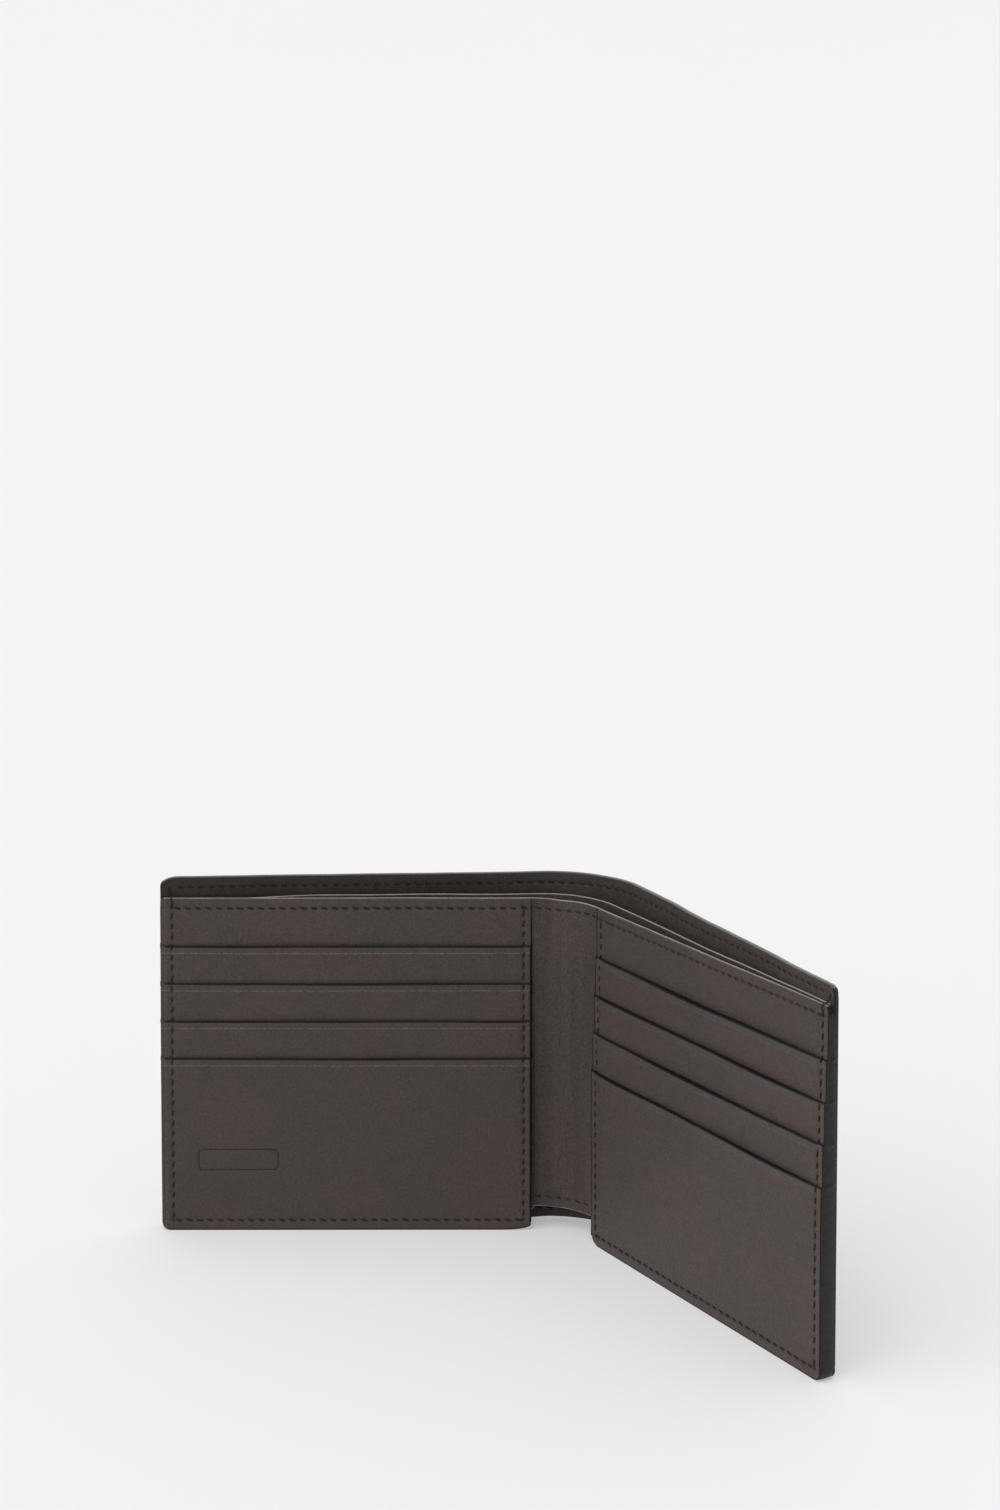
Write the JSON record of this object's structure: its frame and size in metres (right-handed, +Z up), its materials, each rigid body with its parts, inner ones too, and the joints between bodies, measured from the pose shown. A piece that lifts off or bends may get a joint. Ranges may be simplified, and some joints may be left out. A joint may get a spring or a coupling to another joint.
{
  "type": "bifold wallet",
  "caption": "Leather bifold wallet standing half open: two halves hinged at a soft spine, stepped card pockets on both halves and two full-width note compartments behind.",
  "frame": {"origin": "middle of the footprint, on the surface that the wallet stands on", "axes": "+X to the right along the left half's inner panel, seen from the inside; -Y towards the viewer that the inside faces; +Z up along the fold"},
  "size_m": [0.16, 0.098, 0.09],
  "materials": {
    "inside_leather": "smooth satin calf, dark taupe",
    "lining_leather": "smooth matte, dark brown",
    "cover_leather": "soft pebbled grain, satin",
    "board": "matte bonded fibre",
    "thread": "waxed twisted thread"
  },
  "bodies": {
    "left_half": {"cover_left": "cover_leather", "cover_board_left": "board", "cover_lining_left": "lining_leather", "divider_left": "lining_leather", "inner_panel_left": "inside_leather", "pocket_base_left": "inside_leather", "card_pocket_left_1": "inside_leather", "card_pocket_left_2": "inside_leather", "card_pocket_left_3": "inside_leather", "card_pocket_left_4": "inside_leather", "thread_left_side": "thread", "thread_left_spine_side": "thread", "thread_left_bottom": "thread", "thread_panel_top_left": "thread", "thread_lining_top_left": "thread", "thread_cover_top_left": "thread", "thread_cover_bottom_left": "thread", "thread_cover_side_left": "thread", "cover_spine": "cover_leather", "cover_lining_spine": "lining_leather", "divider_spine": "lining_leather", "inner_panel_spine": "inside_leather", "thread_panel_top_spine": "thread", "thread_panel_spine_bottom": "thread", "thread_lining_top_spine": "thread", "thread_lining_bottom_spine": "thread", "thread_cover_top_spine": "thread", "thread_cover_bottom_spine": "thread"},
    "right_half": {"cover_right": "cover_leather", "cover_board_right": "board", "cover_lining_right": "lining_leather", "divider_right": "lining_leather", "inner_panel_right": "inside_leather", "pocket_base_right": "inside_leather", "card_pocket_right_1": "inside_leather", "card_pocket_right_2": "inside_leather", "card_pocket_right_3": "inside_leather", "card_pocket_right_4": "inside_leather", "thread_right_side": "thread", "thread_right_spine_side": "thread", "thread_right_bottom": "thread", "thread_panel_top_right": "thread", "thread_lining_top_right": "thread", "thread_cover_top_right": "thread", "thread_cover_bottom_right": "thread", "thread_cover_side_right": "thread"}
  },
  "joints": [
    {"name": "fold", "type": "hinge", "parent": "left_half", "child": "right_half", "pos_m": [0.02268, 0.03855, 0.045], "axis": [0, 0, -1], "range_deg": [-58.9, 119.1], "deforming": ["cover_spine", "cover_lining_spine", "divider_spine", "inner_panel_spine", "thread_panel_top_spine", "thread_panel_spine_bottom", "thread_lining_top_spine", "thread_lining_bottom_spine", "thread_cover_top_spine", "thread_cover_bottom_spine"]}
  ]
}
